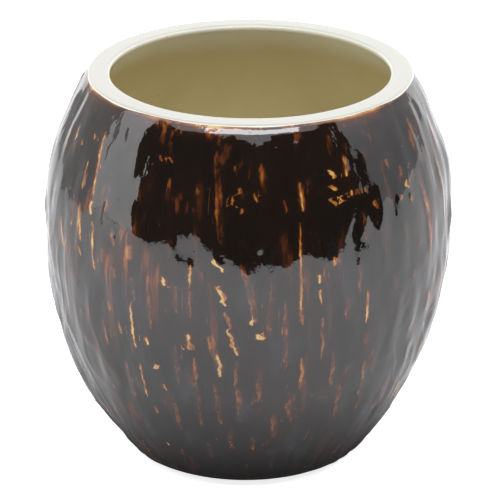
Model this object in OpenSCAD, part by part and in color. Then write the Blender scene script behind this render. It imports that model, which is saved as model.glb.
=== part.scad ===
// Coconut tiki mug: a slip-cast clay cup in the shape of a coconut with its top cut off.
// Brown glaze covers the outside, cream glaze lines the bowl and laps over the lip,
// and the mug stands on a bare ring of clay. It has no handle, lid or moving part.
//
// Every piece is a solid of revolution about Z. It is drawn as half a section, radius
// to the right and height upward, and then turned. Z = 0 is the surface it stands on.

/* [Coconut shape] */
// Height over the lip
mug_h = 98; // [94:0.5:101]
// Widest diameter, over the glaze
belly_d = 100; // [96:0.5:108]
// Height of the widest point
belly_z = 59; // [56:0.5:61]
// Radius of the side's curve above the widest point
shoulder_curve = 76; // [72:1:84]
// Radius of the side's curve below the widest point
flank_curve = 91; // [88:1:100]
// Radius of the round where the side turns under
heel_round = 5.5; // [4:0.5:7]

/* [Wall and lip] */
// Thickness of the finished wall, clay and glaze together
wall_t = 5; // [4:0.1:6]
// Thickness of the finished floor over the foot recess
floor_t = 5; // [4:0.1:6.5]
// Radius of the round between the bowl's wall and floor
bowl_round = 12; // [8:0.5:15]
// Radius of the lip's inner edge
lip_inner_round = 0.8; // [0.8:0.1:1.6]
// Radius of the lip's outer edge
lip_outer_round = 0.6; // [0.6:0.1:0.9]

/* [Foot] */
// Height of the clay ring below the underside
foot_h = 0.9; // [0.6:0.1:1.5]
// How far the ring's outer edge stands in from where the heel starts to turn up
foot_inset = 1.4; // [1.4:0.1:4]
// Width of the face that touches the table
foot_w = 3.6; // [2.5:0.1:5]
// How far each side of the ring leans, so that it leaves its mould
foot_draft = 0.4; // [0.2:0.1:0.6]
// Depth of the recess inside the ring, up from the table
recess_depth = 2.4; // [2:0.1:3]

/* [Glaze] */
// Thickness of every coat of glaze
glaze_t = 0.4; // [0.25:0.05:0.5]
// Bare clay left between the glaze and the foot ring
bare_margin = 0.5; // [0.3:0.1:0.7]

/* [Hidden] */
$fn = 180;
side_steps = 10;                         // straight strokes along each side curve
round_steps = 4;                         // and along each small round
belly_r = belly_d / 2;
shoulder_x = belly_r - shoulder_curve;   // centres of the two side curves, which
flank_x = belly_r - flank_curve;         // meet smoothly at the widest point
inner_shoulder = shoulder_curve - wall_t;
inner_flank = flank_curve - wall_t;

// Each small round touches a side curve. Its centre is at a height set by its own
// radius, and at a distance from the side curve's centre called its reach.
heel_z = foot_h + heel_round;
heel_reach = flank_curve - heel_round;
heel_tilt = tilt(heel_z, heel_reach);
edge_z = mug_h - lip_outer_round;
edge_reach = shoulder_curve - lip_outer_round;
edge_tilt = tilt(edge_z, edge_reach);
mouth_z = mug_h - lip_inner_round;
mouth_reach = inner_shoulder + lip_inner_round;
mouth_tilt = tilt(mouth_z, mouth_reach);
bowl_z = recess_depth + floor_t + bowl_round;
bowl_reach = inner_flank - bowl_round;
bowl_tilt = tilt(bowl_z, bowl_reach);

foot_out = flank_x + heel_reach * cos(heel_tilt) - foot_inset;
foot_in = foot_out - foot_w;
underside_z = foot_h + glaze_t;                     // the clay's underside, beyond the ring
recess_r = foot_in - foot_draft;
glaze_line = foot_out + foot_draft + bare_margin;   // where the outside glaze stops below

// Angle above the level of the widest point at which a side curve meets a round
function tilt(z, reach) = asin((z - belly_z) / reach);

// Points along an arc, from one angle to another, measured up from level
function arc(x, z, r, from, to, steps) = [
    for (i = [0 : steps])
        let (a = from + (to - from) * i / steps)
        [x + r * cos(a), z + r * sin(a)]
];

// Points along a round whose centre is at this tilt and reach from a side curve's centre
function round_arc(side_x, tilt, reach, r, from, to) =
    arc(side_x + reach * cos(tilt), belly_z + reach * sin(tilt), r, from, to, round_steps);

function reversed(points) = [for (i = [len(points) - 1 : -1 : 0]) points[i]];

// The outside from under the heel up to the lip's edge, drawn in by inset
function outside(inset) = concat(
    round_arc(flank_x, heel_tilt, heel_reach, heel_round - inset, -90, heel_tilt),
    arc(flank_x, belly_z, flank_curve - inset, heel_tilt, 0, side_steps),
    arc(shoulder_x, belly_z, shoulder_curve - inset, 0, edge_tilt, side_steps)
);

// The lip's outer edge, from the outside to its flat top, drawn in by inset
function lip_edge(inset) =
    round_arc(shoulder_x, edge_tilt, edge_reach, lip_outer_round - inset, edge_tilt, 90);

// The bowl, from the middle of its floor to the lip's flat top, sunk into the clay by outset
function bowl(outset) = concat(
    [[0, recess_depth + floor_t - outset]],
    round_arc(flank_x, bowl_tilt, bowl_reach, bowl_round + outset, -90, bowl_tilt),
    arc(flank_x, belly_z, inner_flank + outset, bowl_tilt, 0, side_steps),
    arc(shoulder_x, belly_z, inner_shoulder + outset, 0, mouth_tilt, side_steps),
    round_arc(shoulder_x, mouth_tilt, mouth_reach, lip_inner_round - outset, 180 + mouth_tilt, 90)
);

// The raised ring that the mug stands on and the recess inside it, from outside to axis
foot = [
    [foot_out + foot_draft, underside_z],
    [foot_out, 0],
    [foot_in, 0],
    [recess_r, recess_depth],
    [0, recess_depth]
];

// The fired clay that everything else is laid on
module clay_body() {
    color("burlywood") rotate_extrude()
        polygon(concat(bowl(glaze_t), reversed(lip_edge(glaze_t)), reversed(outside(glaze_t)), foot));
}

// Brown glaze, from the edge of the lip down and round the heel
module outer_glaze() {
    under_edge = [[glaze_line, underside_z], [glaze_line, foot_h]];
    color("saddlebrown") rotate_extrude()
        polygon(concat(under_edge, outside(0), reversed(outside(glaze_t))));
}

// Cream glaze, lining the bowl and lapping over the lip
module liner_glaze() {
    color("ivory") rotate_extrude()
        polygon(concat(
            bowl(0), reversed(lip_edge(0)),
            lip_edge(glaze_t), reversed(bowl(glaze_t))
        ));
}

// Brown glaze on the ceiling of the foot recess, inside the bare ring
module foot_recess_glaze() {
    color("saddlebrown") translate([0, 0, recess_depth - glaze_t])
        cylinder(r = recess_r - bare_margin, h = glaze_t);
}

clay_body();
outer_glaze();
liner_glaze();
foot_recess_glaze();
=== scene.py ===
# %% [markdown]
# # A coconut tiki mug
#
# The real thing is a cup of slip-cast clay in the shape of a coconut with its top cut off.
# Slip is liquid clay: it is poured into a plaster mould, a wall sets against the plaster, and
# the rest is tipped out. The mould carries the husk's fibres and dents, so they are a low
# relief on the outside, while the bowl inside stays smooth. The outside is dipped in brown
# glaze, which runs thin over every raised fibre and lets the pale clay glow through it. The
# bowl and the lip have a cream glaze, and the mug stands on a ring of bare clay.
#
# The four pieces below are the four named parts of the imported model: the clay, the two
# glazes and the patch of glaze inside the foot. Each one is a surface worked out with numpy.

import bpy
import numpy as np
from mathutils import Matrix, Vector


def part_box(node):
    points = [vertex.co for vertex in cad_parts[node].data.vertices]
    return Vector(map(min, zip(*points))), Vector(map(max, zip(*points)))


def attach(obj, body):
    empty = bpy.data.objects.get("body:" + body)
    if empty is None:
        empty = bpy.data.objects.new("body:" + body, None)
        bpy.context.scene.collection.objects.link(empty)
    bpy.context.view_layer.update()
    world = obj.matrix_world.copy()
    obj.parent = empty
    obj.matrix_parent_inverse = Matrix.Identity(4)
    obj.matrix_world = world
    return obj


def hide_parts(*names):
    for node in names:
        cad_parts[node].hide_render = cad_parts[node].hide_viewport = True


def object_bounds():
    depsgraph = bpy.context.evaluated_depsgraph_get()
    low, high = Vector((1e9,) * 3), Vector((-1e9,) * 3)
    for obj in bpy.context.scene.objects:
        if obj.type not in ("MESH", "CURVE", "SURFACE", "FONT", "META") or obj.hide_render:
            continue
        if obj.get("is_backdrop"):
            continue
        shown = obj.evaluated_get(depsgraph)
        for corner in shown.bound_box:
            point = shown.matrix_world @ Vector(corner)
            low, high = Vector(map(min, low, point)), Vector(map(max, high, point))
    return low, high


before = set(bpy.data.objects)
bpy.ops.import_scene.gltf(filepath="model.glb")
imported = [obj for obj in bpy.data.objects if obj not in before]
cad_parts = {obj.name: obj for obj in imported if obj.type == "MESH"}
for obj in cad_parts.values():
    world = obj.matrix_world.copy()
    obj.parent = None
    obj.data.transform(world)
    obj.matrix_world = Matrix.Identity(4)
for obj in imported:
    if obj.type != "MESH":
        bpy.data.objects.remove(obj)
cad_low, cad_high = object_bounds()
print("parts in the frame:", sorted(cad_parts))
print("size in mm:", [round(1000 * (b - a), 1) for a, b in zip(cad_low, cad_high)])

# %% [markdown]
# ## Camera
#
# A product picture of a cup is taken with a long lens from a little above, so that the lip
# shows as an open oval and the sides stay nearly upright. The camera is placed by a distance
# and an elevation from the middle of the mug, and turned to look at that point. A small shift
# of the sensor, as on a view camera, settles the framing without tilting anything.

# %% Camera
TARGET = Vector((0, 0, (cad_low.z + cad_high.z) / 2))
DISTANCE = 0.75
ELEVATION = np.radians(22.6)

lens = bpy.data.cameras.new("camera")
lens.lens = 217.5
lens.sensor_width = 36
lens.shift_x = 0.0044
lens.shift_y = 0.0126
lens.clip_start = 0.01
camera = bpy.data.objects.new("camera", lens)
backward = Vector((0, -np.cos(ELEVATION), np.sin(ELEVATION)))
camera.location = TARGET + DISTANCE * backward
camera.rotation_mode = "QUATERNION"
camera.rotation_quaternion = (-backward).to_track_quat("-Z", "Y")
bpy.context.scene.collection.objects.link(camera)
bpy.context.scene.camera = camera
bpy.context.scene.view_settings.view_transform = "Standard"
print("camera at", [round(v, 3) for v in camera.location])

# %% [markdown]
# ## Studio
#
# A glossy dark pot shows its surroundings more than its own colour. In a white studio the
# table and the walls give it a grey sheen, and the only place where the true colour shows is
# the mirror image of the dark room behind the camera. So the room is built as well: a white
# table that ends a little way in front of the mug, an even white surround, a grey card on the
# left, a bright panel behind, and a black screen that stands for the dark side of the room.
# The screen and the two panels are hidden from the camera, which looks out from inside the
# screen.

# %% Table, dark screen and surround
scene = bpy.context.scene


def flat_material(name, color, emission=0.0):
    """A plain studio material: one matt colour, with an even glow of its own if asked."""
    material = bpy.data.materials.new(name)
    material.use_nodes = True
    shader = material.node_tree.nodes["Principled BSDF"]
    shader.inputs["Base Color"].default_value = (*color, 1)
    shader.inputs["Roughness"].default_value = 1
    shader.inputs["Specular IOR Level"].default_value = 0
    shader.inputs["Emission Color"].default_value = (1, 1, 1, 1)
    shader.inputs["Emission Strength"].default_value = emission
    return material


def stage_mesh(name, corners, faces, material):
    """A flat-sided studio object from its corners, marked as not part of the mug."""
    mesh = bpy.data.meshes.new(name)
    mesh.from_pydata([tuple(c) for c in corners], [], faces)
    mesh.materials.append(material)
    thing = bpy.data.objects.new(name, mesh)
    scene.collection.objects.link(thing)
    thing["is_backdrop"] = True
    return thing


def upright_panel(name, start, end, height, material):
    """A rectangle standing on the table, from one end to the other, each given as (x, y)."""
    corners = [(*start, 0), (*end, 0), (*end, height), (*start, height)]
    return stage_mesh(name, corners, [(0, 1, 2, 3)], material)


# The table's near edge runs at a slant: y = -0.53 + 0.6 x.
# It lies a fifth of a millimetre low, so that it never shares a plane with the foot ring.
TABLE_Z = -0.0002
TABLE_WHITE = 0.9
table_edge = [(-0.9, -1.07), (0.55, -0.2), (3, -0.2), (3, 3), (-3, 3), (-3, -0.3), (-0.9, -0.3)]
table_corners = [(x, y, TABLE_Z) for x, y in table_edge]
white = flat_material("studio_white", (TABLE_WHITE, TABLE_WHITE, TABLE_WHITE), 0.16)
stage_mesh("table", table_corners, [tuple(range(len(table_edge)))], white)

# The screen is part of a drum, in degrees left (negative) and right of the camera.
# Its right end is cut at a slant, so that it reaches less far to the right at the top.
SCREEN_R, SCREEN_BOTTOM, SCREEN_TOP = 1.3, 0.02, 1.08
SCREEN_LEFT, RIGHT_BELOW, RIGHT_ABOVE = -71, 82, 60
COLUMNS = 32
part = np.linspace(0, 1, COLUMNS + 1)


def screen_rim(right_end):
    """Points on the drum at height 0, R * (sin a, -cos a, 0), evenly from left end to right."""
    a = np.radians(SCREEN_LEFT + (right_end - SCREEN_LEFT) * part)
    return SCREEN_R * np.column_stack((np.sin(a), -np.cos(a), 0 * part))


rim_low = screen_rim(RIGHT_BELOW) - [0, 0, SCREEN_BOTTOM]
rim_high = screen_rim(RIGHT_ABOVE) + [0, 0, SCREEN_TOP]
skirt = rim_low * [0.3, 0.3, 1]
row = COLUMNS + 1
screen_faces = [(i, i + 1, i + row + 1, i + row) for i in range(COLUMNS)]
screen_faces += [tuple(corner + row for corner in face) for face in screen_faces]
screen = stage_mesh("dark_screen", np.vstack((skirt, rim_low, rim_high)), screen_faces,
                    flat_material("studio_black", (0.004, 0.004, 0.004)))
left_card = upright_panel("left_card", (-0.5, 0.05), (-0.38, 0.5), 0.9,
                          flat_material("grey_card", (0.1, 0.1, 0.1), 0.55))
backdrop = upright_panel("backdrop", (-1.3, 1.2), (1.3, 1.2), 1.6,
                         flat_material("bright_backdrop", (0.1, 0.1, 0.1), 1.6))
for hidden_thing in (screen, left_card, backdrop):
    hidden_thing.visible_camera = False
screen_rise = np.degrees(np.arctan((SCREEN_TOP - cad_high.z) / SCREEN_R))
print(f"dark screen from {SCREEN_LEFT} to {RIGHT_BELOW} degrees round the mug")
print(f"its top is {screen_rise:.0f} degrees above the lip")

# %% [markdown]
# ### Helpers for nodes
#
# A material is a net of nodes. Making each node, setting its values and drawing its links
# takes many lines that differ little, so a few helpers say them shortly. The first wires a
# node, the second adds a node wired, and the rest make the kinds that are used most.

# %% Node helpers
def wire(tree, node, **sources):
    """Sets a node's inputs: an output socket is linked, anything else is stored.
    An input is given by its name, or by its place as i0, i1 and so on.
    """
    for label, source in sources.items():
        by_place = label[0] == "i" and label[1:].isdigit()
        socket = node.inputs[int(label[1:]) if by_place else label]
        if isinstance(source, bpy.types.NodeSocket):
            tree.links.new(source, socket)
        else:
            socket.default_value = source
    return node


def add(tree, kind, **sources):
    """A new node of this kind, such as Math, wired."""
    return wire(tree, tree.nodes.new("ShaderNode" + kind), **sources)


def maths(tree, how, a, b=0.0, c=0.0, clamp=False):
    """The result of one Math node."""
    node = add(tree, "Math", i0=a, i1=b, i2=c)
    node.operation = how
    node.use_clamp = clamp
    return node.outputs[0]


def between(tree, value, low, high, start=0.0, end=1.0):
    """start where the value is below low, end where it is above high, eased from one to the other.
    low may be above high.
    """
    node = add(tree, "MapRange", Value=value, i1=low, i2=high, i3=start, i4=end)
    node.interpolation_type = "SMOOTHSTEP"
    return node.outputs[0]


def mixed(tree, factor, first, second):
    """A colour that goes from first to second as the factor goes from 0 to 1."""
    node = tree.nodes.new("ShaderNodeMix")
    node.data_type = "RGBA"
    return wire(tree, node, Factor=factor, i6=first, i7=second).outputs[2]


def length_of(tree, vector):
    """The length of a vector."""
    node = tree.nodes.new("ShaderNodeVectorMath")
    node.operation = "LENGTH"
    return wire(tree, node, i0=vector).outputs["Value"]


# %% [markdown]
# The camera sees the table burnt out to clean white, as it is in catalogue pictures, with no
# more than a breath of shadow where the mug stands. Only for rays straight from the camera,
# an even glow is added to the lit table. The mug mirrors the table as it is lit, with a
# painted shadow that darkens it close to the foot, where the mug's own shade lies. From below,
# the table is clear, and stays clear for every ray that came through it, so that the foot can
# be looked at and has light to be seen by.

# %% The table as the camera sees it
tree = white.node_tree
table_shader = tree.nodes["Principled BSDF"]
matt = table_shader.outputs[0]
facing = add(tree, "NewGeometry")
rays = add(tree, "LightPath")
straight = rays.outputs["Is Camera Ray"]

# painted shadow for mirrored rays: darker within 16 cm of the middle of the foot, where the mug's
# own shade lies
painted_foot_shadow = add(tree, "ValToRGB", i0=length_of(tree, facing.outputs["Position"]))
shades = painted_foot_shadow.color_ramp.elements
shades[0].position, shades[0].color = 0.030, (0.12, 0.12, 0.12, 1)
shades[1].position, shades[1].color = 0.16, (TABLE_WHITE, TABLE_WHITE, TABLE_WHITE, 1)
for away, grey in ((0.045, 0.5), (0.062, 0.78)):
    shades.new(away).color = (grey, grey, grey, 1)
shade = mixed(tree, straight, painted_foot_shadow.outputs[0], (TABLE_WHITE, TABLE_WHITE, TABLE_WHITE, 1))
wire(tree, table_shader, **{"Base Color": shade, "Emission Color": shade})

glow = add(tree, "Emission", Strength=0.68)
burnt = add(tree, "AddShader", i0=matt, i1=glow.outputs[0])
from_above = add(tree, "MixShader", i0=straight, i1=matt, i2=burnt.outputs[0])
below = maths(tree, "ADD", facing.outputs["Backfacing"], rays.outputs["Transparent Depth"],
              clamp=True)
clear = add(tree, "BsdfTransparent")
one_sided = add(tree, "MixShader", i0=below, i1=from_above.outputs[0], i2=clear.outputs[0])
wire(tree, tree.nodes["Material Output"], Surface=one_sided.outputs[0])
print("table:", len(tree.nodes), "nodes")

# %% [markdown]
# The surround is the world itself. Rays straight from the camera find plain white. Every
# other ray, which is the light that falls on the mug or is mirrored in it, finds a dome that
# is grey at the horizon and brighter than white overhead. A tall softbox stands on the left,
# and a strip light hangs over the camera: it is the pale line in the glaze just under the lip.

# %% World and lights
world = bpy.data.worlds.new("surround")
scene.world = world
world.use_nodes = True
sky = world.node_tree
sky.nodes.clear()
direction = add(sky, "TexCoord")
upward = add(sky, "SeparateXYZ", i0=direction.outputs["Generated"])
dome = between(sky, upward.outputs["Z"], 0.05, 0.85, 0.68, 1.42)
lit = add(sky, "Background", Color=(0.975, 0.99, 1.03, 1), Strength=dome)
seen = add(sky, "Background", Color=(1, 1, 1, 1), Strength=1.0)
path = add(sky, "LightPath")
choose = add(sky, "MixShader",
             i0=path.outputs["Is Camera Ray"], i1=lit.outputs[0], i2=seen.outputs[0])
add(sky, "OutputWorld", Surface=choose.outputs[0])

LIT_POINT = Vector((0, 0, 0.08))


def softbox(name, bearing, distance, z, width, height, radiance, tint=(1, 1, 1)):
    """A rectangular light that faces the mug. Its power is radiance times area times pi."""
    light = bpy.data.lights.new(name, "AREA")
    light.shape = "RECTANGLE"
    light.size = width
    light.size_y = height
    light.color = tint
    light.energy = radiance * width * height * np.pi
    thing = bpy.data.objects.new(name, light)
    a = np.radians(bearing)
    place = Vector((distance * np.sin(a), -distance * np.cos(a), z))
    thing.location = place
    thing.rotation_mode = "QUATERNION"
    thing.rotation_quaternion = (LIT_POINT - place).to_track_quat("-Z", "Y")
    thing.visible_camera = False
    scene.collection.objects.link(thing)


softbox("left_softbox", -86, 0.9, 0.34, 0.5, 0.68, 1.25)
softbox("overhead_strip", 2, 0.82, 1.07, 1.25, 0.2, 7.0, (0.97, 0.96, 1.0))

# %% [markdown]
# ## Tools for the surfaces
#
# Every piece is a skin over a grid: one direction of the grid goes round the mug, the other
# follows a half-section from one end to the other. So two tools come first. One lays points
# evenly along a profile that is drawn with arcs. The other turns a grid of points into a
# closed mesh, checks by its signed volume that the faces look outwards, and prints the size.

# %% Arcs and even spacing
MM = 0.001


def arc(x, z, radius, start, end, steps=24):
    """Points centre + radius * (cos a, sin a), with a going evenly from start to end degrees."""
    a = np.radians(np.linspace(start, end, steps))
    return np.column_stack((x + radius * np.cos(a), z + radius * np.sin(a)))


def lengths(profile):
    """Distance along the profile to each point, the first being 0."""
    return np.concatenate(([0], np.cumsum(np.hypot(*np.diff(profile, axis=0).T))))


def along(profile, s):
    """Radius and height at distance s along the profile, for an array s of any shape."""
    total = lengths(profile)
    return np.interp(s, total, profile[:, 0]), np.interp(s, total, profile[:, 1])


def outward(profile, s):
    """Unit normal of the profile at s: its tangent (dr, dz) turned a quarter, to (dz, -dr)."""
    r0, z0 = along(profile, s - 0.25)
    r1, z1 = along(profile, s + 0.25)
    size = np.hypot(r1 - r0, z1 - z0) + 1e-9
    return (z1 - z0) / size, -(r1 - r0) / size


# %% Grid to mesh
def bearings(around):
    """Bearings evenly spaced round the mug, in radians, as one row."""
    return np.linspace(-np.pi, np.pi, around, endpoint=False)[None, :]


def shell(name, radius, height, bearing, poles):
    """A closed skin. Each grid point sits at (r sin b + lean, -r cos b, z), in mm.
    Columns close round the mug. Rows either close into a ring, or end in a pole at both ends.
    Its volume is the sum of a . (b x c) / 6 over the triangles of the grid. If that is negative,
    the faces look inwards, and are turned.
    """
    bearing = np.broadcast_to(bearing, radius.shape)
    rows, around = radius.shape
    shift = lean(height)
    points = np.stack((radius * np.sin(bearing) + shift, -radius * np.cos(bearing), height), -1)
    index = np.arange(rows * around).reshape(rows, around)
    step = np.roll(index, -1, axis=1)
    last = rows - 1 if poles else rows
    above = np.roll(index, -1, axis=0)[:last]
    above_step = np.roll(step, -1, axis=0)[:last]
    quads = np.stack((index[:last], step[:last], above_step, above), -1).reshape(-1, 4)
    mesh = bpy.data.meshes.new(name)
    flat = points.reshape(-1, 3)
    if poles:
        pole = np.full(around, len(flat))
        low = np.column_stack((step[0], index[0], pole))
        high = np.column_stack((index[-1], step[-1], pole + 1))
        faces = quads.tolist() + low.tolist() + high.tolist()
        flat = np.vstack((flat, points[0].mean(0), points[-1].mean(0)))
    else:
        faces = quads.tolist()
    a, b, c, d = (flat[quads[:, k]] for k in range(4))
    volume = np.sum(np.cross(b - a, c - a) * a) / 6 + np.sum(np.cross(c - a, d - a) * a) / 6
    if volume < 0:
        faces = [f[::-1] for f in faces]
    mesh.from_pydata((flat * MM).tolist(), [], faces)
    mesh.polygons.foreach_set("use_smooth", np.ones(len(faces), dtype=bool))
    mesh.update()
    piece = bpy.data.objects.new(name, mesh)
    scene.collection.objects.link(piece)
    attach(piece, "root")
    triangles = sum(len(f) - 2 for f in faces)
    print(f"{name}: {triangles} triangles, about {abs(volume) / 1000:.1f} ml")
    return piece


def paint(piece, name, values):
    """Stores one number per grid point on the piece, for its material to read."""
    store = piece.data.attributes.new(name, "FLOAT", "POINT")
    full = np.zeros(len(piece.data.vertices), dtype=np.float32)
    full[: values.size] = values.ravel()
    store.data.foreach_set("value", full)


# %% [markdown]
# ## The coconut's half-section
#
# A coconut's side is close to two arcs that meet smoothly at the widest point: a rounder one
# up to the lip and a longer one down to the heel, where a small round turns it under to the
# foot. The sizes repeat the CAD's, in mm. Where an arc meets a small round, its angle is the
# one at which a point at the round's height lies at the round's distance from the arc's
# centre, so that the two touch without a corner.

# %% Sizes and outside profile
low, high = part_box("outer_glaze")
BELLY_R = (high.x - low.x) / 2 / MM
MUG_H = (cad_high.z - cad_low.z) / MM
BELLY_Z = 59                      # height of the widest point
SHOULDER, FLANK = 76, 91          # radii of the two side arcs, above and below it
WALL, GLAZE = 5, 0.4              # thickness of the finished wall, and of each coat
HEEL, HEEL_Z = 5.5, 6.4           # radius of the heel's round, and height of its centre
BOWL_ROUND, BOWL_Z = 12, 19.4     # the same for the round in the bottom of the bowl
LIP_IN, LIP_OUT = 0.8, 0.6        # radii of the lip's two edges
FOOT_INSET, FOOT_WIDTH = 1.4, 3.6 # of the ring's contact face, inwards from the heel
FOOT_DRAFT = 0.4                  # how far each side of the ring leans
RECESS_Z = 2.4                    # height of the recess inside the ring
MARGIN = 0.5                      # bare clay left between glaze and ring
POLE_R = 0.6                      # where the rows of the clay and the liner end, near the axis


def tilt(z, reach):
    """Angle above the widest point at which a point this far from the arc's centre has height z."""
    return np.degrees(np.arcsin((z - BELLY_Z) / reach))


def round_x(side_x, z, reach):
    """Radius at which a small round's centre lies, if it touches the side arc centred at side_x."""
    return side_x + reach * np.cos(np.radians(tilt(z, reach)))


shoulder_x = BELLY_R - SHOULDER
flank_x = BELLY_R - FLANK
heel_x = round_x(flank_x, HEEL_Z, FLANK - HEEL)
heel_tilt = tilt(HEEL_Z, FLANK - HEEL)
edge_z = MUG_H - LIP_OUT
edge_x = round_x(shoulder_x, edge_z, SHOULDER - LIP_OUT)
edge_tilt = tilt(edge_z, SHOULDER - LIP_OUT)


def side_profile(inset):
    """From under the heel up to the lip's edge, drawn in by inset: heel round, flank, shoulder."""
    return np.vstack((
        [[heel_x - MARGIN, HEEL_Z - HEEL + inset]],
        arc(heel_x, HEEL_Z, HEEL - inset, -90, heel_tilt),
        arc(flank_x, BELLY_Z, FLANK - inset, heel_tilt, 0, 90)[1:],
        arc(shoulder_x, BELLY_Z, SHOULDER - inset, 0, edge_tilt, 60)[1:],
    ))


side = side_profile(0)
print(f"side from glaze line to lip: {lengths(side)[-1]:.1f} mm, lip edge at r = {side[-1, 0]:.2f}")

# %% [markdown]
# ## What the mould's carver did
#
# Nothing on a husk is quite round. The mug leans by half a millimetre, swells on one side,
# and has shallow dents as if tapped with a thumb. Over these run long fibres, most of them
# upright. All this is one function of bearing and height, so that the clay and the glaze on
# it carry the same relief. Bearing is 0 at the front and grows to the right.
#
# Random but repeatable shapes come from soft noise: seeded random numbers in tall narrow
# cells, eased into each other. Every row of cells is turned by its own random amount, so the
# pattern wanders and never lines up.

# %% Lean and soft noise
LEAN = 0.62


def lean(height):
    """Sideways shift in mm: LEAN at the lip, none half-way up, and -LEAN at the foot."""
    return LEAN * (2 * height / MUG_H - 1)


def soft_noise(bearing, height, wide, tall, seed):
    """Random numbers between -1 and 1 in cells of wide by tall mm, eased by f * f * (3 - 2 f)."""
    rng = np.random.default_rng(seed)
    columns = max(3, round(2 * np.pi * BELLY_R / wide))
    rows = int(130 / tall) + 4
    grid = rng.uniform(-1, 1, (rows, columns))
    turn = rng.uniform(0, columns, rows)
    v = (height + 12) / tall
    row = np.floor(v).astype(int)
    up = v - row
    up = up * up * (3 - 2 * up)

    def one_row(k):
        u = (bearing / (2 * np.pi) * columns + turn[k]) % columns
        cell = np.floor(u).astype(int) % columns
        f = u - np.floor(u)
        f = f * f * (3 - 2 * f)
        return grid[k, cell] * (1 - f) + grid[k, (cell + 1) % columns] * f

    return one_row(row) * (1 - up) + one_row(row + 1) * up


print(f"lean: {lean(0):.2f} mm at the foot, {lean(MUG_H):.2f} mm at the lip")


def bump_at(bearing, height, b0, z0, wide, tall):
    """A soft hill of height 1 at bearing b0 and height z0: exp(-(across/wide)^2 - (up/tall)^2)."""
    across = ((bearing - np.radians(b0) + np.pi) % (2 * np.pi) - np.pi) * BELLY_R
    return np.exp(-(across / wide) ** 2 - ((height - z0) / tall) ** 2)


# %% Swells and dents
# bearing and height of the middle, width, height and rise
SWELLS = [
    (88, 75, 24, 9, 0.45),
    (-90, 76, 24, 10, 0.2),
    (88, 48, 22, 8, -0.25),
    (-88, 50, 22, 10, -0.25),
    (-90, 26, 26, 12, 0.3),
    (90, 30, 26, 12, 0.2),
    (150, 60, 30, 24, 0.3),
    (-140, 40, 30, 20, -0.25),
]
DENTS = [
    (-46, 78, 2.6, 4.0, -0.16),
    (-50, 87, 2.4, 5.0, -0.12),
    (-38, 84, 2.2, 3.5, -0.12),
    (-29, 74, 2.8, 3.0, -0.16),
    (30, 74, 3.0, 2.6, -0.15),
    (35, 70, 2.6, 2.8, -0.18),
    (23, 72, 2.2, 2.0, -0.10),
    (-18, 69, 2.4, 2.4, -0.12),
    (47, 80, 3.0, 6.0, -0.12),
    (-60, 80, 3.0, 6.0, -0.14),
    (-42, 87, 1.8, 1.6, -0.10),
    (-33, 72, 1.6, 2.6, 0.16),
    (27.5, 74, 1.6, 2.6, 0.20),
    (31.5, 76, 1.2, 3.0, -0.14),
]
KNOB = (-2, 82.6, 1.3, 1.6, 0.28)


def body_shape(bearing, height):
    """Broad shape in mm: the listed swells and two low waves, cos 2b and cos 3b."""
    shape = 0.12 * np.cos(2 * bearing + 0.8) + 0.08 * np.cos(3 * bearing - 0.5)
    for b0, z0, wide, tall, rise in SWELLS:
        shape = shape + rise * bump_at(bearing, height, b0, z0, wide, tall)
    return shape + 0.10 * soft_noise(bearing, height, 22, 30, 3)


def dented(bearing, height):
    """Dents in mm: the listed ones, and soft noise in three sizes, stronger in patches and at the
    sides. The smallest dents are like grains of rice.
    """
    patch = 0.75 + 0.45 * soft_noise(bearing, height, 34, 30, 11)
    rice = 0.08 + 0.28 * np.sin(bearing) ** 2
    dents = 0.16 * soft_noise(bearing, height, 8, 12, 12)
    dents = dents + rice * soft_noise(bearing, height, 3.4, 7.5, 13)
    dents = dents + 0.11 * soft_noise(bearing + 0.012 * height, height, 5.5, 16, 14)
    dents = dents * patch * (0.85 + 0.9 * np.sin(bearing) ** 2)
    for b0, z0, wide, tall, rise in DENTS + [KNOB]:
        dents = dents + rise * bump_at(bearing, height, b0, z0, wide, tall)
    return dents
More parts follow.
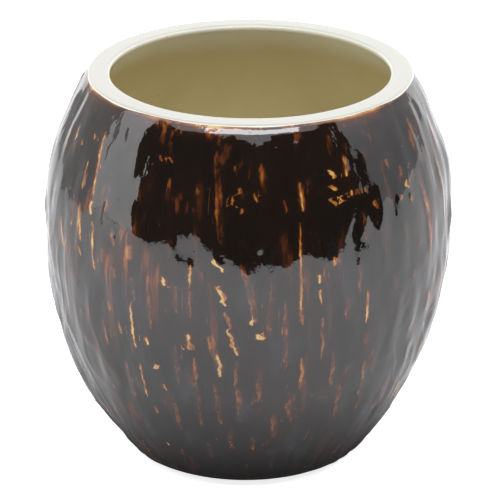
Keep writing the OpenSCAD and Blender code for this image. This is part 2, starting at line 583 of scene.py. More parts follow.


# %% [markdown]
# ### Fibres
#
# A fibre is a thin raised line, and the glaze is thinnest along its crest. The main ones are
# listed, and the rest are drawn at random, each one kept clear of those before it.
# For every point of a surface the function below finds the fibre it belongs to, and gives
# three numbers: how far the point is to the side of that fibre's crest, how wide the bare
# crest is there, and how strongly the clay glows through. The first is signed, so that it
# stays exact between two grid points, and a sharp line can be drawn on a coarser mesh.

# %% The list of fibres
# bearing and height of the top, length, drift in degrees to the bottom, half width, glow
MAIN_FIBRES = [
    (14.5, 86, 7.5, 0.6, 0.36, 0.95), (14, 77, 25, 0.3, 0.36, 0.86), (-10, 93, 21, 2.5, 0.95, 0.42),
    (-14.5, 86, 9, 1, 0.5, 0.36), (-24, 86, 6, 0, 0.5, 0.4), (9.8, 82.5, 3.4, 0.4, 0.3, 0.62),
    (-16, 67.5, 5.5, 0.2, 0.4, 1.0), (-15.9, 62.2, 9, 0.3, 0.34, 0.62),
    (-16.2, 49.8, 2.8, -0.1, 0.5, 0.95), (-15.7, 46.8, 2.2, 0, 0.95, 0.72),
    (-15, 42.6, 6, 0.2, 0.55, 0.62), (-14.8, 36.4, 15, 0.6, 0.5, 0.5),
    (-9.6, 68.8, 3.2, 2.6, 0.6, 1.0), (-8.3, 62.6, 5.4, 2.2, 0.62, 1.0),
    (-6.2, 55.8, 4.4, 1.9, 0.62, 0.66), (-5.7, 51.4, 7.6, 3.2, 0.5, 1.0),
    (-3, 42.6, 7.5, -0.4, 0.5, 0.55), (-2.8, 35, 11, 1.2, 0.8, 0.5),
    (-10.6, 49.6, 6.4, 1.5, 0.85, 0.5), (-8.8, 44.6, 7, 1.1, 0.5, 0.98),
    (-9.4, 36, 13, 1.6, 0.7, 0.52), (-1.9, 68, 15, 4.4, 0.9, 0.5), (1.5, 55, 3.2, -0.4, 0.5, 0.95),
    (2.6, 49.9, 1.8, 0.6, 1.15, 1.0), (9.8, 59, 19, 0.8, 0.4, 0.58),
    (13.9, 56.6, 5, 1.0, 0.5, 0.72), (15, 43.4, 10, 0.7, 0.5, 0.74), (19.1, 64.4, 3, 0, 0.42, 1.0),
    (19.4, 60.8, 4.4, 0.6, 0.32, 0.85), (20.5, 53.4, 12.5, 0.4, 0.44, 0.56),
    (23.5, 67.8, 2.2, 0, 0.7, 0.78), (27.8, 57.5, 7, 0, 0.6, 0.6),
    (34.1, 57.4, 8.4, 0.4, 0.42, 0.86), (34.6, 47, 4.4, 0.4, 0.6, 0.56),
    (35.6, 38.6, 8.6, 1.6, 0.46, 0.68), (36.4, 30.8, 8, 1.8, 0.4, 0.56),
    (-33.5, 54.8, 12.6, 0.3, 0.4, 1.0), (-32.6, 38.4, 10.2, 0.7, 0.34, 0.95),
    (-32.9, 61.4, 6, 0.9, 0.46, 0.6), (-33.9, 69, 4, 0.2, 0.6, 0.66),
    (-27.8, 62.4, 14, 0.6, 0.5, 0.55), (-29.2, 46.8, 3, 0.8, 0.4, 0.98),
    (-23.3, 63, 2.8, 0.6, 0.5, 1.0), (-27, 39.3, 1.6, 0.3, 0.9, 0.95),
    (-25.6, 34.4, 2.8, 1, 0.4, 1.0), (-30.2, 26, 2.6, 0.9, 0.4, 0.68),
    (-29.7, 14.6, 2.2, 0.4, 0.36, 1.0), (12.4, 31.4, 8, 1.8, 0.6, 0.54),
    (-53, 92, 15, 3.2, 0.42, 0.9), (-50.2, 76.6, 4.4, 0.7, 0.5, 1.0),
    (-49, 71.4, 12, 2.5, 0.42, 1.0), (-55.4, 74, 9, 2.4, 0.42, 0.98),
    (-56.4, 84.6, 7.6, 0.7, 0.32, 0.9), (-57.6, 90.6, 2.4, 1, 0.36, 0.98),
    (-62.8, 88, 2.2, 0.6, 0.36, 0.95), (-68.2, 90, 4.4, 0.6, 0.36, 0.92),
    (-73.6, 90, 9, 1, 0.36, 0.8), (-65.5, 68.5, 7, 3.2, 0.36, 0.9), (-54, 64.4, 3, 1.6, 0.4, 0.9),
    (-44.4, 77.8, 3.4, 0.4, 0.5, 0.7), (-41, 71, 3.4, 1.4, 0.5, 0.62),
    (-43.4, 66.6, 4.2, 0.3, 0.4, 0.56), (-39, 62.4, 3, 0.8, 0.4, 0.6),
    (-44, 47.4, 7, 0.6, 0.36, 0.7), (-38.2, 48.6, 4, 0.9, 0.36, 0.8), (62.6, 50, 6, -1.4, 0.4, 0.8),
    (58.8, 78, 8, 0.8, 0.5, 0.6), (59.6, 69, 10, 0.4, 0.4, 0.55), (30, 90, 5, -0.5, 0.45, 0.86),
    (24, 87.6, 2.2, 1.8, 0.6, 0.86), (24, 84.6, 1.8, 1.6, 0.8, 0.86),
    (23.6, 81.4, 2, 1.4, 0.7, 0.82), (26.6, 82, 2, 1.2, 0.6, 0.92),
    (30.5, 82.8, 2.2, -0.4, 0.42, 0.9), (32.6, 82.4, 2, 0.3, 0.36, 0.78),
    (35.2, 82.2, 1.8, 0, 0.36, 0.75), (37.8, 78.8, 2.2, 0.8, 0.8, 0.7),
    (33.4, 77, 7, 0.9, 0.5, 0.55), (45.4, 87, 2.8, 0.2, 0.5, 0.66), (50.2, 84.6, 3, 0.7, 0.5, 0.7),
    (51.8, 80.8, 2.4, 0.6, 0.55, 0.9), (47.4, 78.2, 2.2, 0.6, 0.6, 0.82),
    (52.6, 77, 2, 0, 0.4, 0.8), (-28.6, 90.4, 1.8, 1, 0.4, 0.8), (-25.4, 90.2, 1.6, 2, 0.4, 0.8),
    (-3, 85, 1.8, 0, 0.4, 0.8), (1.2, 83.8, 2, 1, 0.4, 0.85), (-5, 83, 2, 0, 0.42, 0.75),
    (-2, 80.6, 1.8, 0, 0.45, 0.8), (3.4, 90, 7, 1, 0.3, 0.4), (6.5, 66, 18, -1, 0.7, 0.42),
    (-20.5, 46, 14, 0.6, 0.6, 0.5), (3.2, 41, 11, 0.5, 0.6, 0.46), (8.4, 27, 9, 0.6, 0.7, 0.44),
    (16.4, 38, 13, 1.2, 0.5, 0.48), (24.4, 44, 12, 1.0, 0.6, 0.46), (-22.6, 29, 10, 0.8, 0.6, 0.5),
    (-5.4, 22, 8, 0.6, 0.6, 0.44), (2.4, 19, 6, 0.4, 0.5, 0.46), (-13.2, 17, 6, 0.6, 0.5, 0.46),
    (28.6, 33, 11, 1.4, 0.6, 0.48), (-37.6, 38, 13, 0.8, 0.5, 0.5), (-19.8, 62, 8, 0.3, 0.5, 0.5),
    (31.2, 66, 9, 0.4, 0.5, 0.5),
]


def all_fibres(count, seed):
    """The main fibres, and random ones kept 3 mm clear of any fibre already at their height.
    At the front, where the main ones are, the random ones are further apart and fainter.
    """
    rng = np.random.default_rng(seed)
    chosen = list(MAIN_FIBRES)
    for _ in range(count):
        b0, top = rng.uniform(-180, 180), rng.uniform(8, 95)
        long = min(rng.choice([2, 4, 8, 18, 30]) * rng.uniform(0.7, 1.4), top - 3)
        drift, glow = rng.normal(0, 1.1), 0.22 + 0.74 * rng.uniform(0, 1) ** 1.6
        half = rng.uniform(0.22, 0.46) if glow > 0.5 else rng.uniform(0.35, 1.1)
        front = abs(b0) < 46
        apart = (3.4 if front else 3.0) + half
        clear_of_all = all(
            abs((b0 - b + 180) % 360 - 180) * 0.8 > apart or top < z - ln - 2 or top - long > z + 2
            for b, z, ln, *_ in chosen
        )
        if clear_of_all:
            chosen.append((b0, top, long, drift, half, glow * (0.7 if front else 1)))
    return chosen


FIBRES = all_fibres(count=900, seed=27)
print(len(MAIN_FIBRES), "main fibres,", len(FIBRES) - len(MAIN_FIBRES), "more round the mug")


# %% Fibres as a field
NO_FIBRE = {"fibre_offset": 9.0, "fibre_width": -1.0, "fibre_glow": 0.0, "relief_mm": 0.0}


def fibre_field(bearing, height, radius):
    """Offset, half width and glow of the nearest fibre, and the rise of its crest in mm.
    Along a fibre f goes from 0 at the top to 1 at the bottom, and its half width is
    w * (4 f (1 - f)) ^ 0.35. The crest is a soft hill, exp(-(across / (w + 0.35)) ^ 2).
    """
    offset = np.full(bearing.shape, NO_FIBRE["fibre_offset"])
    width = np.full(bearing.shape, NO_FIBRE["fibre_width"])
    glow = np.zeros(bearing.shape)
    rise = np.zeros(bearing.shape)
    best = np.full(bearing.shape, -3.0)
    wander = 0.22 * soft_noise(bearing, height, 26, 3.4, 41)
    for b0, top, long, drift, half, shine in FIBRES:
        f = (top - height) / long
        crest = np.radians(b0 + drift * np.clip(f, 0, 1))
        across = ((bearing - crest + np.pi) % (2 * np.pi) - np.pi) * radius + wander
        inside = np.clip(4 * f * (1 - f), 0, 1)
        here = np.where((f > 0) & (f < 1), half * inside ** 0.35, -1.0)
        near = here - np.abs(across)
        take = (near > best) & (np.abs(across) < half + 1.5)
        offset = np.where(take, across, offset)
        width = np.where(take, here, width)
        glow = np.where(take, shine, glow)
        best = np.where(take, near, best)
        hill = 0.11 * min(half / 0.4, 1.2) * np.exp(-(across / (half + 0.35)) ** 2)
        rise = np.maximum(rise, hill * np.clip(inside * 1.5, 0, 1))
    return offset, width, glow, rise


def husk(bearing, height):
    """Fine upright fibres in mm: crests (1 - |noise|) ^ 4 and ^ 2.5, where soft noise in tall cells
    crosses zero. Below the widest point the sides have a third set, sharper still, with ^ 5.
    """
    coarse = 1 - np.abs(soft_noise(bearing, height, 7, 20, 51))
    fine = 1 - np.abs(soft_noise(bearing, height, 4, 10, 52))
    patch = np.clip(0.6 + 0.6 * soft_noise(bearing, height, 26, 34, 53), 0.15, 1.2)
    side = 0.3 + 0.75 * np.sin(bearing) ** 2
    wrinkle = 1 - np.abs(soft_noise(bearing + 0.006 * height, height, 4.6, 11, 54))
    low_down = np.clip((56 - height) / 18, 0, 1) * np.sin(bearing) ** 2
    fibres = side * patch * (0.22 * coarse ** 4 + 0.09 * fine ** 2.5)
    return fibres + 0.26 * low_down * wrinkle ** 5


def relief(bearing, height, radius):
    """The whole relief in mm. Small shapes fade out over the last 5 mm to the lip, the broad shape
    falls away straight over the last 1.6 mm, and both ease out over 3 mm to the foot.
    """
    offset, width, glow, rise = fibre_field(bearing, height, radius)
    below_lip = MUG_H - 0.3 - height
    foot = np.clip((height - 1) / 3, 0, 1)
    foot = foot * foot * (3 - 2 * foot)
    top = np.clip(below_lip / 5, 0, 1)
    small = (foot * top * top * (3 - 2 * top)
             * (dented(bearing, height) + husk(bearing, height) + rise))
    broad = foot * np.clip(below_lip / 1.6, 0, 1) * body_shape(bearing, height)
    return broad + small, small, offset, width, glow


# %% [markdown]
# ## Outer glaze
#
# The brown glaze is a coat 0.4 mm thick. It is made as what it is, a thin closed shell: up
# the outside of the clay, over its own edge at the lip, and back down against the clay. The
# edge is not a machined line, because the glaze was wiped off by hand there, so it wanders by
# a fraction of a millimetre. The cream glaze ends just below the same wandering line, tucked
# under the brown edge.

# %% Outer glaze
AROUND, ROWS, BACK_ROWS = 640, 124, 26
WIPED = 0.25                      # mean distance from the lip's corner to the wiped line
UNDER_LIP = 0.97                  # share of the side's length below its last, closer rows


def wiped_line(bearing):
    """How far below the lip's corner the two glazes meet, in mm, with its waves round the lip."""
    return WIPED + 0.12 * np.sin(5 * bearing + 1) + 0.08 * np.sin(13 * bearing)


def side_grid(rows, around, inset, top_gap, bottom_gap):
    """Bearing, radius and height of a side skin, moved out by the relief, and the fibre fields.
    A tenth of the rows are kept for the last 3% of the side, under the lip, where the light is
    mirrored from overhead.
    """
    profile = side_profile(inset)
    total = lengths(profile)[-1]
    close = rows // 10
    lower = np.linspace(0, UNDER_LIP, rows - close)
    upper = np.linspace(UNDER_LIP, 1, close + 1)[1:]
    t = np.concatenate((lower, upper))[:, None]
    s = np.broadcast_to(bottom_gap + t * (total - top_gap - bottom_gap), (rows, around))
    r, z = along(profile, s)
    nr, nz = outward(profile, s)
    bearing = np.broadcast_to(bearings(around), r.shape)
    moved, small, offset, width, glow = relief(bearing, z, r)
    fields = {"fibre_offset": offset, "fibre_width": width, "fibre_glow": glow, "relief_mm": small}
    return bearing, r + nr * moved, z + nz * moved, fields


top_gap = wiped_line(bearings(AROUND)) - WIPED
b, r, z, fields = side_grid(ROWS, AROUND, 0, top_gap, 0.0)
b_in, r_in, z_in, _ = side_grid(BACK_ROWS, AROUND, GLAZE, top_gap, 0.3)

# the last two rows tuck in by a twentieth of a millimetre, so that the edge is rounded
tuck = np.clip((np.arange(ROWS) - (ROWS - 3)) / 2, 0, 1)[:, None] * 0.05
outer = shell("outer_glaze_skin", np.vstack((r - tuck, r_in[::-1])), np.vstack((z, z_in[::-1])),
              np.vstack((b, b_in)), poles=False)
for name, field in fields.items():
    paint(outer, name, np.vstack((field, np.full(r_in.shape, NO_FIBRE[name]))))
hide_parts("outer_glaze")

# %% [markdown]
# ## Clay body
#
# The fired clay fills everything between the coats: the wall, the floor and the foot. Only
# the ring it stands on is bare. Its section starts in the middle of the bowl's floor, climbs
# the inside of the wall, crosses under the lip, comes down the outside with the same relief
# as the glaze, and ends in the middle of the recess under the foot.

# %% Clay body
FOOT_OUT = heel_x - FOOT_INSET
FOOT_IN = FOOT_OUT - FOOT_WIDTH
RECESS_R = FOOT_IN - FOOT_DRAFT
bowl_reach = FLANK - WALL - BOWL_ROUND
bowl_x = round_x(flank_x, BOWL_Z, bowl_reach)
bowl_tilt = tilt(BOWL_Z, bowl_reach)
mouth_z = MUG_H - LIP_IN
mouth_reach = SHOULDER - WALL + LIP_IN
mouth_x = round_x(shoulder_x, mouth_z, mouth_reach)
mouth_tilt = tilt(mouth_z, mouth_reach)


def bowl_profile(outset):
    """From the middle of the bowl's floor to the lip's inner edge, sunk into the clay by outset."""
    return np.vstack((
        [[POLE_R, RECESS_Z + WALL - outset]],
        arc(bowl_x, BOWL_Z, BOWL_ROUND + outset, -90, bowl_tilt, 20),
        arc(flank_x, BELLY_Z, FLANK - WALL + outset, bowl_tilt, 0, 40)[1:],
        arc(shoulder_x, BELLY_Z, SHOULDER - WALL + outset, 0, mouth_tilt, 40)[1:],
        arc(mouth_x, mouth_z, LIP_IN - outset, 180 + mouth_tilt, 90, 12)[1:],
    ))


def even(profile, rows):
    """The same profile with its rows evenly spaced, as two columns."""
    r, z = along(profile, np.linspace(0, lengths(profile)[-1], rows))
    return r[:, None], z[:, None]


CLAY_AROUND = 360
inner_r, inner_z = even(bowl_profile(GLAZE), 60)
_, side_r, side_z, _ = side_grid(80, CLAY_AROUND, GLAZE, 0.0, 0.0)
lip_r, lip_z = even(arc(edge_x, edge_z, LIP_OUT - GLAZE, 90, edge_tilt, 6), 5)

# the ring from outside to inside, then the recess up to the axis, with small rounds on the ring
foot = np.array([
    [FOOT_OUT + 0.4, 1.3], [FOOT_OUT + 0.36, 1.1], [FOOT_OUT + 0.08, 0.22], [FOOT_OUT - 0.2, 0.0],
    [FOOT_OUT - 1.2, 0.0], [FOOT_IN + 1.2, 0.0], [FOOT_IN + 0.2, 0.0], [FOOT_IN - 0.06, 0.25],
    [RECESS_R + 0.08, 2.1], [RECESS_R - 0.25, RECESS_Z], [RECESS_R * 0.6, RECESS_Z],
    [POLE_R, RECESS_Z],
])
widen = np.ones((1, CLAY_AROUND))
clay_r = np.vstack((inner_r * widen, lip_r * widen, side_r[::-1], foot[:, :1] * widen))
clay_z = np.vstack((inner_z * widen, lip_z * widen, side_z[::-1], foot[:, 1:] * widen))
clay = shell("clay_wall_and_foot", clay_r, clay_z, bearings(CLAY_AROUND), poles=True)
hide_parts("clay_body")

# %% [markdown]
# ## Liner glaze
#
# The cream glaze is poured into the bowl, swilled round and poured out, and it is brushed
# over the lip. The bowl's inside was the free face of the clay, so it has no fibres, only
# long shallow waves. The lip was cut flat and sponged, which leaves it level but soft.

# %% Liner glaze
LINER_ROWS, LINER_BACK_ROWS, LINER_AROUND = 150, 40, 512
LAP = 1.2                         # how far down the shoulder the profile is drawn
TUCKED = 0.12                     # how far the cream goes on under the brown edge


def liner_profile(outset):
    """The bowl, the flat of the lip, its outer round, and the first LAP mm down the shoulder."""
    lap_angle = np.degrees(LAP / SHOULDER)
    return np.vstack((
        bowl_profile(outset),
        arc(edge_x, edge_z, LIP_OUT - outset, 90, edge_tilt, 12),
        arc(shoulder_x, BELLY_Z, SHOULDER - outset, edge_tilt, edge_tilt - lap_angle, 8)[1:],
    ))


def liner_grid(rows, outset):
    """Rows along the liner, closer together towards the wiped line, where they stop.
    The bowl has waves of 0.12 and 0.04 mm, and the lip of 0.035 mm. The last 0.35 mm sink by
    0.07 mm, under the brown edge. The profile runs up from the bowl's floor, so its normal
    (dz, -dr) points into the clay, and a positive shift is a dip.
    """
    profile = liner_profile(outset)
    corner = lengths(profile)[-1] - LAP
    end = corner + wiped_line(bearings(LINER_AROUND))
    spread = 1 - (1 - np.linspace(0, 1, rows)[:, None]) ** 1.35
    s = spread * (end + TUCKED)
    r, z = along(profile, s)
    nr, nz = outward(profile, s)
    bearing = np.broadcast_to(bearings(LINER_AROUND), r.shape)
    deep = np.clip((MUG_H - 1 - z) / 12, 0, 1)
    long_waves = 0.12 * soft_noise(bearing, z, 40, 40, 71)
    short_waves = 0.04 * soft_noise(bearing, z, 14, 16, 72)
    wave = deep * (long_waves + short_waves)
    wave = wave + (1 - deep) * 0.035 * soft_noise(bearing, z, 16, 60, 73)
    wave = wave * np.clip(r / 8, 0, 1)
    dip = wave + 0.07 * np.clip((s - end + 0.35) / 0.35, 0, 1)
    return r + nr * dip, z + nz * dip


r_face, z_face = liner_grid(LINER_ROWS, 0.0)
r_back, z_back = liner_grid(LINER_BACK_ROWS, GLAZE)
liner = shell("liner_and_lip", np.vstack((r_face, r_back[::-1])), np.vstack((z_face, z_back[::-1])),
              bearings(LINER_AROUND), poles=True)
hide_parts("liner_glaze")

# %% [markdown]
# ## Glaze in the foot recess
#
# Inside the ring a round patch of brown glaze is left on the underside. Glaze draws itself
# up into a rounded bead at its edge and is thinnest just inside it, and a mug shows that when
# it is turned over.

# %% Foot recess glaze
PATCH_R = RECESS_R - MARGIN
PATCH_POLE_R = 0.4
b3 = bearings(around=256)
t = np.linspace(0, 1, 36)[:, None]
edge_wave = 0.12 * np.sin(4 * b3 + 0.6) + 0.08 * np.sin(9 * b3)
face_r = PATCH_POLE_R + t * (PATCH_R - 0.62 + edge_wave - PATCH_POLE_R)
bead = 0.10 * np.exp(-((1 - t) * PATCH_R / 1.2) ** 2)
slow_wave = soft_noise(np.broadcast_to(b3, face_r.shape), np.broadcast_to(t * 40, face_r.shape),
                       20, 9, 81)
face_z = RECESS_Z - 0.30 - bead + 0.03 * slow_wave

# the edge turns up in a quarter round, and the back lies flat against the clay
bend = np.radians(np.linspace(-90, 0, 9))[1:, None]
turn_r = face_r[-1:] + GLAZE * np.cos(bend)
turn_z = np.minimum(face_z[-1:] + GLAZE + GLAZE * np.sin(bend), RECESS_Z)
back_t = np.linspace(1, 0, 8)[:, None]
back_r = PATCH_POLE_R + back_t * (turn_r[-1:] - PATCH_POLE_R)
back_z = np.full(back_r.shape, RECESS_Z)
recess = shell("foot_recess_patch", np.vstack((face_r, turn_r, back_r)),
               np.vstack((face_z, turn_z, back_z)), b3, poles=True)
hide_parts("foot_recess_glaze")

# %% [markdown]
# ## Finishes
#
# Three finishes are needed: brown glaze, cream glaze and bare clay. Both glazes have the same
# skin, which is never as flat as window glass: it ripples, and has faint orange peel and a few
# pinholes. Clay and cream glaze both show fine iron specks. So the skin and the specks are
# node groups, built once and placed in each material with that material's own values.

# %% Groups and noise
VECTOR, NUMBER, COLOUR = "NodeSocketVector", "NodeSocketFloat", "NodeSocketColor"


def new_group(name, inputs, output, kind):
    """An empty node group with one named output. Each input is (name, kind, first value)."""
    group = bpy.data.node_groups.new(name, "ShaderNodeTree")
    for label, input_kind, value in inputs:
        socket = group.interface.new_socket(label, in_out="INPUT", socket_type=input_kind)
        if value is not None:
            socket.default_value = value
    group.interface.new_socket(output, in_out="OUTPUT", socket_type=kind)
    return group, group.nodes.new("NodeGroupInput").outputs, group.nodes.new("NodeGroupOutput")


def noise(tree, where, scale, detail=2.0, rough=0.5, stretch=(1, 1, 1)):
    """Noise between 0 and 1 at a point, after the point is scaled by stretch."""
    move = add(tree, "Mapping", Vector=where, Scale=stretch)
    return add(tree, "TexNoise", Vector=move.outputs[0], Scale=scale, Detail=detail,
               Roughness=rough).outputs[0]


def product(tree, first, *others):
    """All the values multiplied together."""
    for value in others:
        first = maths(tree, "MULTIPLY", first, value)
    return first


def scaled(tree, value, by, start):
    """value * by + start."""
    return maths(tree, "MULTIPLY_ADD", value, by, start)


# %% Shared groups: glaze skin and specks
skin, given, skin_out = new_group(
    "glaze_skin",
    [("Vector", VECTOR, None), ("Peel", NUMBER, 1.0), ("Ripple", NUMBER, 1.0),
     ("Pinholes", NUMBER, 1.0)],
    "Height", NUMBER,
)
peel = product(skin, noise(skin, given["Vector"], 1500, 2, 0.6), given["Peel"])
ripple = noise(skin, given["Vector"], 460, 2, 0.5, (1, 1, 0.5))
cells = add(skin, "TexVoronoi", Vector=given["Vector"], Scale=260)
pits = product(skin, between(skin, cells.outputs["Distance"], 0.09, 0.0), given["Pinholes"])
rippled = maths(skin, "MULTIPLY_ADD", ripple, given["Ripple"], peel)
wire(skin, skin_out, Height=maths(skin, "SUBTRACT", rippled, pits))

specks, given, specks_out = new_group(
    "iron_specks",
    [("Vector", VECTOR, None), ("Scale", NUMBER, 900.0), ("Amount", NUMBER, 0.5)],
    "Mask", NUMBER,
)
dots = add(specks, "TexVoronoi", Vector=given["Vector"], Scale=given["Scale"])
chosen_at = add(specks, "TexWhiteNoise", Vector=dots.outputs["Position"])
kept = maths(specks, "LESS_THAN", chosen_at.outputs["Value"], given["Amount"])
dot = between(specks, dots.outputs["Distance"], 0.22, 0.05)
wire(specks, specks_out, Mask=product(specks, kept, dot))
print("shared groups:", skin.name, specks.name)

# %% [markdown]
# ### From the thickness of the glaze to its colour
#
# The brown glaze is like dark honey on a pale plate. A thick layer is almost black, a thinner
# one glows rust and then amber, and the thinnest film is pale yellow. A colour ramp over the
# thickness says just that. It is a group of its own, since the glaze on the side and the
# patch under the foot both use it.

# %% Glaze colour group
GLAZE_STOPS = [
    (0.2, (0.021, 0.011, 0.0075, 1)), (0.42, (0.075, 0.022, 0.009, 1)),
    (0.62, (0.25, 0.075, 0.017, 1)),
    (0.78, (0.44, 0.165, 0.032, 1)), (0.9, (0.60, 0.335, 0.085, 1)),
]
tint, given, tint_out = new_group("glaze_colour", [("Thinness", NUMBER, 0.0)], "Color", COLOUR)
ramp = add(tint, "ValToRGB", i0=given["Thinness"])
stops = ramp.color_ramp.elements
stops[0].position, stops[0].color = 0.0, (0.0125, 0.0092, 0.0072, 1)
stops[1].position, stops[1].color = 1.0, (0.70, 0.50, 0.20, 1)
for place, colour in GLAZE_STOPS:
    stops.new(place).color = colour
wire(tint, tint_out, Color=ramp.outputs["Color"])
print("glaze colour:", len(stops), "stops from thick to thin")

# %% Starting and finishing a material
GLAZE_IOR = 1.75


def place_group(tree, group, output, **values):
    """The output of a node group placed in a material with this material's own values."""
    node = tree.nodes.new("ShaderNodeGroup")
    node.node_tree = group
    return wire(tree, node, **values).outputs[output]


def start_material(name):
    """A new material with a Principled shader, and its tree, shader and Object coordinates."""
    material = bpy.data.materials.new(name)
    material.use_nodes = True
    tree = material.node_tree
    where = add(tree, "TexCoord").outputs["Object"]
    return material, tree, tree.nodes["Principled BSDF"], where


def finish_material(material, piece, height, depth):
    """Bumps the surface by this height, depth being 1 of it in metres, and puts it on the piece."""
    tree = material.node_tree
    bump = add(tree, "Bump", Strength=1.0, Distance=depth, Height=height)
    wire(tree, tree.nodes["Principled BSDF"], Normal=bump.outputs["Normal"])
    piece.data.materials.append(material)
    print(f"{material.name}: {len(tree.nodes)} nodes")


# %% [markdown]
# ### Brown glaze
#
# Everything in this finish works out one number, the thinness of the coat, and the colour
# group turns it into a colour. It starts with the fibres. Each is drawn sharply from the
# numbers stored on the mesh: the crest is bare where the offset is less than the half width.
# Noise is added to the offset, so that the edge of a streak is ragged, and the wide bright
# ones are pulled into a zigzag too. A soft halo surrounds each crest.

# %% Brown glaze: the fibres
brown, tree, shader, where = start_material("brown_glaze_over_clay")


def stored(name):
    """A number stored on the mesh."""
    node = tree.nodes.new("ShaderNodeAttribute")
    node.attribute_name = name
    return node.outputs["Fac"]


ragged = scaled(tree, noise(tree, where, 620, 4, 0.65, (1, 1, 0.8)), 1.5, -0.75)
zigzag = scaled(tree, noise(tree, where, 400, 1, 0.5, (0.25, 0.25, 1)), 3.4, -1.7)
width_here, glow_here = stored("fibre_width"), stored("fibre_glow")
wide_and_bright = product(tree, between(tree, width_here, 0.40, 0.52),
                          between(tree, glow_here, 0.6, 0.9))
jitter = maths(tree, "MULTIPLY_ADD", zigzag, wide_and_bright, ragged)
offset_here = maths(tree, "ADD", stored("fibre_offset"), jitter)
spare = maths(tree, "SUBTRACT", width_here, maths(tree, "ABSOLUTE", offset_here))

# the glow changes along the fibre, and its left edge is painted a little brighter: a painted
# highlight on the side that faces the left softbox
patchy = scaled(tree, noise(tree, where, 420, 4, 0.7, (1, 1, 0.45)), 1.7, -0.95)
left_edge_painted_highlight = between(tree, product(tree, offset_here, -1.0), 0.05, 0.6)
glowing = maths(tree, "ADD", scaled(tree, left_edge_painted_highlight, 0.16, glow_here), patchy, clamp=True)
crest = product(tree, between(tree, spare, -0.30, 0.26), glowing)
halo = product(tree, between(tree, spare, -1.0, 0.3), glow_here, 0.34)

# %% [markdown]
# Away from the fibres the coat is thick, but not evenly so. It has broad slow changes and
# upright bands, it thins over the tops of the small relief, and fine streaks show where two
# patterns agree. Under the lip a little glaze was rubbed off, most of all on the wiped line.

# %% Brown glaze: thickness elsewhere
broad = product(tree, between(tree, noise(tree, where, 60, 3, 0.55, (1, 1, 0.3)), 0.42, 0.75), 0.11)
bands = product(tree, between(tree, noise(tree, where, 260, 3, 0.6, (1, 1, 0.10)), 0.55, 0.70),
                0.40)
raised = product(tree, between(tree, stored("relief_mm"), 0.05, 0.40), 0.22)
streaks = between(tree, noise(tree, where, 900, 4, 0.65, (1, 1, 0.10)), 0.56, 0.70)
chance = between(tree, noise(tree, where, 210, 2, 0.5, (1, 1, 0.5)), 0.52, 0.66)
streaks = product(tree, streaks, chance, 0.55)

height_here = add(tree, "SeparateXYZ", Vector=where).outputs["Z"]
patches = between(tree, noise(tree, where, 75, 2, 0.5, (1, 1, 0.6)), 0.36, 0.60)
rubbed = product(tree, scaled(tree, patches, 0.36, 0.10),
                 between(tree, height_here, 0.0935, 0.0978))
wiped = product(tree, between(tree, height_here, 0.0968, 0.0975), noise(tree, where, 160, 2), 0.7)

thin = broad
for source in (raised, bands, streaks, maths(tree, "ADD", rubbed, wiped), halo):
    thin = maths(tree, "ADD", thin, source)
thin = maths(tree, "MAXIMUM", thin, crest, clamp=True)

# %% [markdown]
# Low on the mug the colour is drawn a little towards milky blue grey in upright smears, a
# painted reflection of the bluish table mirrored there. The surface is glossy, and is
# roughened only in faint clouds.

# %% Brown glaze: colour and surface
# painted reflection: low on the mug the colour goes towards blue grey, a painted sheen of the table
painted_sheen_smears = between(tree, noise(tree, where, 150, 4, 0.6, (1, 1, 0.35)), 0.50, 0.72)
painted_sheen_smears = product(tree, painted_sheen_smears, between(tree, height_here, 0.074, 0.060), 0.5)
colour = mixed(tree, painted_sheen_smears, place_group(tree, tint, "Color", Thinness=thin),
               (0.040, 0.045, 0.055, 1))
clouds = product(tree, noise(tree, where, 120, 3, 0.6), 0.03)
wire(tree, shader, **{"Base Color": colour, "IOR": GLAZE_IOR, "Roughness": clouds})
surface = place_group(tree, skin, "Height", Vector=where, Peel=0.35, Ripple=3.2, Pinholes=1.2)
finish_material(brown, outer, surface, 0.00002)

# %% [markdown]
# The patch under the foot is the same glaze without fibres, so it only needs the colour
# group, a slow change in thickness, and a thin rim where the glaze was wiped from the ring.

# %% Brown glaze under the foot
under, tree, shader, where = start_material("brown_glaze_under_foot")
slow = between(tree, noise(tree, where, 90, 3, 0.55), 0.35, 0.8)
flattened = add(tree, "Mapping", Vector=where, Scale=(1, 1, 0)).outputs[0]
from_axis = length_of(tree, flattened)
rim = between(tree, from_axis, (PATCH_R - 2.2) * MM, (PATCH_R + 0.2) * MM)
thin = maths(tree, "MULTIPLY_ADD", slow, 0.34, product(tree, rim, 0.42), clamp=True)
colour = place_group(tree, tint, "Color", Thinness=thin)
wire(tree, shader, **{"Base Color": colour, "IOR": GLAZE_IOR, "Roughness": 0.06})
surface = place_group(tree, skin, "Height", Vector=where, Peel=0.8, Ripple=2.0, Pinholes=1.0)
finish_material(under, recess, surface, 0.00002)
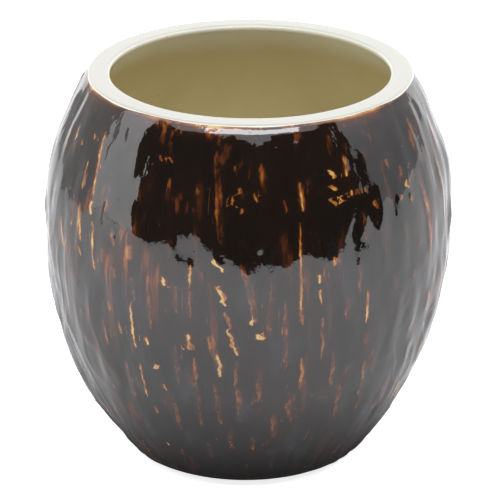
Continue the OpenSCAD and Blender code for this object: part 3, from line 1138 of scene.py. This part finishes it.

# %% [markdown]
# ### Cream glaze
#
# In the bowl the cream glaze is one poured coat, and the clay behind it turns it towards the
# colour of butter; the bowl's colour is also made deeper than the lip's, as painted shade for
# the inside of the bowl. On the rolled inner edge of the lip the colour is almost white, a
# painted highlight on an edge that faces the dark side of the room, and it fades into the
# bowl's colour over the next 8 mm down. The flat top was wiped and takes the overhead light
# full on, so it is painted a greyer, darker cream than the rest. All three depend on height.

# %% Cream glaze
cream, tree, shader, where = start_material("cream_glaze")
height_here = add(tree, "SeparateXYZ", Vector=where).outputs["Z"]
uneven = scaled(tree, noise(tree, where, 90, 2, 0.5), 0.0016, -0.0008)
# painted highlight: the rolled inner edge and the wall just under it are painted almost white
edge_painted_highlight = between(tree, maths(tree, "ADD", height_here, uneven), 0.0890, 0.0966)
# painted light: the flat top, lit full on from overhead, is painted a greyer, darker cream
lit_top_painted_darker = between(tree, height_here, 0.09772, 0.09796)
cloud = between(tree, noise(tree, where, 45, 3, 0.55), 0.3, 0.7)
# the bowl's butter colour is partly the glaze's own tint and partly painted shade inside the bowl
colour = mixed(tree, cloud, (0.665, 0.575, 0.31, 1), (0.70, 0.62, 0.365, 1))
colour = mixed(tree, edge_painted_highlight, colour, (0.90, 0.90, 0.77, 1))
colour = mixed(tree, lit_top_painted_darker, colour, (0.487, 0.484, 0.422, 1))
dotted = place_group(tree, specks, "Mask", Vector=where, Scale=420.0, Amount=0.05)
colour = mixed(tree, product(tree, dotted, 0.35), colour, (0.45, 0.33, 0.18, 1))
clouds = scaled(tree, noise(tree, where, 140, 3, 0.6), 0.12, 0.10)
wire(tree, shader, **{"Base Color": colour, "IOR": 1.55, "Roughness": clouds})
surface = place_group(tree, skin, "Height", Vector=where, Peel=0.8, Ripple=2.2, Pinholes=0.5)
finish_material(cream, liner, surface, 0.00002)

# %% [markdown]
# ### Bare clay
#
# Fired earthenware is matt, pale buff and finely grained, with iron specks. Standing on
# tables has rubbed the ring a little darker where it touches, so the lowest third of a
# millimetre is greyed in patches.

# %% Bare clay
bare, tree, shader, where = start_material("fired_clay")
grain = noise(tree, where, 1800, 4, 0.65)
cloud = between(tree, noise(tree, where, 130, 3, 0.6), 0.3, 0.7)
colour = mixed(tree, cloud, (0.60, 0.47, 0.33, 1), (0.70, 0.58, 0.43, 1))
height_here = add(tree, "SeparateXYZ", Vector=where).outputs["Z"]
touching = between(tree, height_here, 0.00035, 0.00005)
worn = product(tree, touching, between(tree, noise(tree, where, 260, 3, 0.6), 0.45, 0.62), 0.5)
colour = mixed(tree, worn, colour, (0.30, 0.25, 0.20, 1))
dotted = place_group(tree, specks, "Mask", Vector=where, Scale=900.0, Amount=0.18)
colour = mixed(tree, product(tree, dotted, 0.6), colour, (0.22, 0.12, 0.06, 1))
wire(tree, shader, **{"Base Color": colour, "Roughness": scaled(tree, grain, 0.15, 0.75)})
finish_material(bare, clay, grain, 0.00006)

# %% [markdown]
# ## The size at the end
#
# The glazed skin may bulge a little past the plain CAD shape, but the whole mug is meant to
# keep its size. The last line prints the size of the whole visual model, to set against the
# CAD size printed at the start.

# %% Sizes and finish
low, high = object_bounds()
print("visual size in mm:", [round(1000 * (b - a), 2) for a, b in zip(low, high)])
